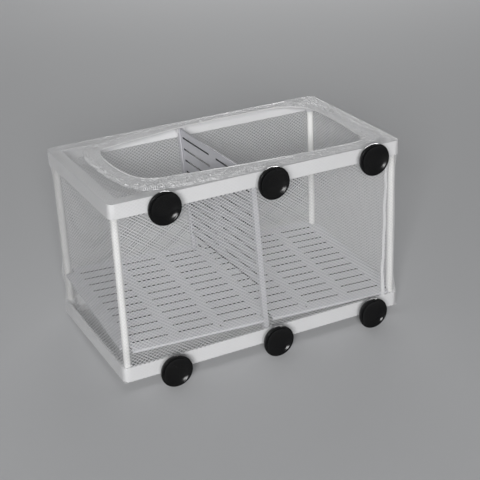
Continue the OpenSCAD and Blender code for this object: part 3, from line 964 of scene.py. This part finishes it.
def hem_reach(way, edge):
    """How far the fold reaches outwards, and how much of it lies in front."""
    in_front = bump(np.clip(edge[..., 1] - FRONT_Y, 0, None), 0, FRONT_END)
    room = np.minimum(HALF_L - np.abs(edge[..., 0]), HALF_W - np.abs(edge[..., 1]))
    room = room - RIM_ROOM - (RIM_ROOM_IN_FRONT - RIM_ROOM) * in_front
    wider = in_front * WIDER * (1 + bump(edge[..., 0], *WIDER_BAND))
    ragged = RAGGED * ripple(way, 0, seed=6.6, cell=(9 * MM, 1))
    return np.minimum(HEM_FOLD * (1 + wider + ragged), room), in_front


reach, _ = hem_reach(MOUTH_WALK, MOUTH_POINTS)
print("the fold is", round(reach.min() / MM, 1), "to", round(reach.max() / MM, 1), "mm wide")

# %% Fold the hem
HEM_LIES = 0.35 * MM
CRUMPLE, CRUSH, PUCKERS_IN_FRONT = 0.25 * MM, 2.1 * MM, 0.8 * MM
STREAKS, GATHERS, SOFT_FOLD = 1.2 * MM, 0.4 * MM, 0.6 * MM
COARSE, FINE = 0.6, 0.4
# A band of the hem is the place of its middle and how wide it is.
FRONT_BAND, LEFT_BAND = (-62 * MM, 22 * MM), (-118 * MM, 26 * MM)
CRUSHED_BAND, SMOOTH_BAND = (-78 * MM, 38 * MM), (60 * MM, 62 * MM)
SEWN_IN, SEWN_WIDE = 2.2 * MM, 2.4 * MM
TAPER, TAPER_SMOOTH, EDGE_LEFT = 1 * MM, 6 * MM, 0.35
NEAR_CORD, CORD_LEFT = 1.2 * MM, 0.2
ACROSS_POINTS, ALONG_POINTS = 0.06, 0.9 * MM


def hem_lift(way, flat, away, sewn):
    """Height of the creases and gathers of the fold, where sewn is 1 at its stitches."""
    x, y = flat[..., 0], flat[..., 1]
    front, left = bump(y, *FRONT_BAND), bump(x, *LEFT_BAND)
    crumple = COARSE * ridges(x, y, seed=2.9, cell=(4.6 * MM, 5.5 * MM))
    crumple = crumple + FINE * ridges(x, y, seed=5.3, cell=(2.6 * MM, 3.0 * MM))
    streaks = ridges(way, away, seed=4.7, cell=(7 * MM, 1.9 * MM))
    gathers = ridges(way, away, seed=8.8, cell=(2.4 * MM, 7 * MM))
    waves = ripple(way, away, seed=3.3, cell=(16 * MM, 5 * MM))
    crushed = CRUSH * front * bump(x, *CRUSHED_BAND)
    creased = (CRUMPLE + crushed + PUCKERS_IN_FRONT * sewn * front) * crumple
    soft = SOFT_FOLD * front * bump(x, *SMOOTH_BAND) * (1 + waves)
    return creased + STREAKS * sewn * left * streaks + GATHERS * gathers + soft


def hem_band(way, v):
    """Points of the folded hem at distances along it and shares v of its width outwards."""
    edge, out = hem_along(way)
    reach, in_front = hem_reach(way, edge)
    away = v * reach
    flat = edge + out * away[..., None]
    sewn = bump(away, reach - SEWN_IN, SEWN_WIDE)
    smooth = in_front * bump(edge[..., 0], *SMOOTH_BAND)
    thin = (reach - away) / (TAPER + (TAPER_SMOOTH - TAPER) * smooth)
    settle = np.clip(away / NEAR_CORD, CORD_LEFT, 1) * np.clip(thin, EDGE_LEFT * (1 - smooth), 1)
    height = Z_TOP + NET_OUT + HEM_LIES + settle * hem_lift(way, flat, away, sewn)
    return np.concatenate([flat, height[..., None]], -1)


families = woven(hem_band, np.arange(0, MOUTH_LENGTH, HEM_STEP), spaced(0, 1, ACROSS_POINTS),
                 spaced(0, 1, HEM_STEP / HEM_FOLD), spaced(0, MOUTH_LENGTH, ALONG_POINTS), *RIBBON)
fold = net_object("net_hem_fold", families)
dress(fold, hem_nylon_painted_light)
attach(fold, "box")
print("hem fold faces:", len(fold.data.polygons))

# %% [markdown]
# ## The stitches
# Two rows of running stitches hold the fold down. Each stitch is a short, bright, glossy thread,
# so the rows read as a broken line of glints along the fold's outer edge. They follow the
# crumpled cloth and none is quite in line with the next, because a gathered hem can't be sewn
# straight.

# %% Sew the stitches
TUBE_SIDES = 8
STITCH, STITCH_GAP, STITCH_R = 2.7 * MM, 1.3 * MM, 0.32 * MM
STITCH_ROWS, STITCH_SHARES, ASKEW = (0.90, 0.70), (0.6, 1.1), 0.08
PULLED, NEAT = 1.0, 0.45
PULLED_LEFT, PULLED_FRONT = -90 * MM, (-42 * MM, -30 * MM)
ARCH = np.array([0.0, 0.25, 0.32, 0.25, 0.0]) * MM
STITCH_ENDS = np.array([0.6, 1.0, 1.0, 1.0, 0.6])


def tube(path, radii, closed):
    """Points and faces of a round tube along a path of points."""
    along = np.gradient(path, axis=0)
    if closed:
        along = np.roll(path, -1, 0) - np.roll(path, 1, 0)
    along /= np.linalg.norm(along, axis=1, keepdims=True)
    side = np.cross(along, (0, 0, 1))
    side /= np.maximum(np.linalg.norm(side, axis=1, keepdims=True), 1e-9)
    rise = np.cross(side, along)
    turns = np.linspace(0, 2 * math.pi, TUBE_SIDES, endpoint=False)
    ring = (np.cos(turns)[:, None] * side[:, None, :] + np.sin(turns)[:, None] * rise[:, None, :])
    points = path[:, None, :] + np.asarray(radii)[:, None, None] * ring
    stretches = len(path) - (0 if closed else 1)
    i, k = np.meshgrid(np.arange(stretches), np.arange(TUBE_SIDES), indexing="ij")
    j, n = (i + 1) % len(path), (k + 1) % TUBE_SIDES
    faces = np.stack([i * TUBE_SIDES + k, i * TUBE_SIDES + n, j * TUBE_SIDES + n,
                      j * TUBE_SIDES + k], -1)
    return points.reshape(-1, 3), faces.reshape(-1, 4)


stitches = []
for share in STITCH_ROWS:
    for start in np.arange(0, MOUTH_LENGTH - STITCH, STITCH + STITCH_GAP):
        way = start + np.linspace(0, STITCH, len(ARCH)) * random.uniform(*STITCH_SHARES)
        ends = random.uniform(-ASKEW, ASKEW), random.uniform(-ASKEW, ASKEW)
        path = hem_band(way, share + np.linspace(*ends, len(ARCH)))
        x, y = path[0, :2]
        pulled = x < PULLED_LEFT or (x < PULLED_FRONT[0] and y < PULLED_FRONT[1])
        size = PULLED if pulled else NEAT
        path[:, 2] += ARCH * size
        stitches.append(tube(path, STITCH_R * size * STITCH_ENDS, False))
sewn = net_object("hem_stitches", stitches)
sewn.data.polygons.foreach_set("use_smooth", [True] * len(sewn.data.polygons))
dress(sewn, hem_elastic)
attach(sewn, "box")
print("stitches:", len(stitches))

# %% [markdown]
# ## The elastic
# A thin covered elastic runs in the hem. It lies on the gathers, so it wavers a little in height
# and its cover is nipped at every gather. A tube swept along the mouth's outline shows this well,
# with its thickness changed by noise. A loose end of its cover curls up at the front right.

# %% Sweep the elastic
HEM_R, HEM_RINGS, NIPPED = 0.55 * MM, 900, 0.25
CORD_LIES, CORD_WAVERS = 0.3 * MM, 0.25 * MM
LOOSE_R, LOOSE_ROUGH, LOOSE_STEPS = 0.22 * MM, 0.4, 8
LOOSE_END = np.array([
    (99.0, -59.5, 157.9), (102.5, -58.0, 158.6), (105.8, -55.6, 159.6), (108.0, -52.6, 160.2),
    (107.6, -50.4, 159.6), (105.6, -51.6, 158.9), (106.2, -54.4, 158.6), (108.6, -56.2, 159.4),
    (110.2, -54.2, 160.4), (109.6, -51.2, 160.8), (109.0, -49.6, 160.6)]) * MM

centre, _ = hem_along(np.linspace(0, MOUTH_LENGTH, HEM_RINGS, endpoint=False))
waver = ripple(*centre.T, seed=5.5, cell=(9 * MM, 9 * MM))
nip = ripple(*centre.T, seed=2.2, cell=(1.3 * MM, 1.3 * MM))
height = Z_TOP + HEM_R + CORD_LIES + CORD_WAVERS * waver
cord_path = np.concatenate([centre, height[:, None]], -1)
loose_path = smooth_curve(LOOSE_END, LOOSE_STEPS, closed=False)
loose_radii = 1 + LOOSE_ROUGH * ripple(np.arange(len(loose_path)), 0, seed=1.1, cell=(5.0, 1))
elastic = net_object("elastic_cord", [tube(cord_path, HEM_R * (1 + NIPPED * nip), True),
                                      tube(loose_path, LOOSE_R * loose_radii, False)])
elastic.data.polygons.foreach_set("use_smooth", [True] * len(elastic.data.polygons))
dress(elastic, hem_elastic)
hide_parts("elastic_hem")
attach(elastic, "box")
print("elastic faces:", len(elastic.data.polygons))
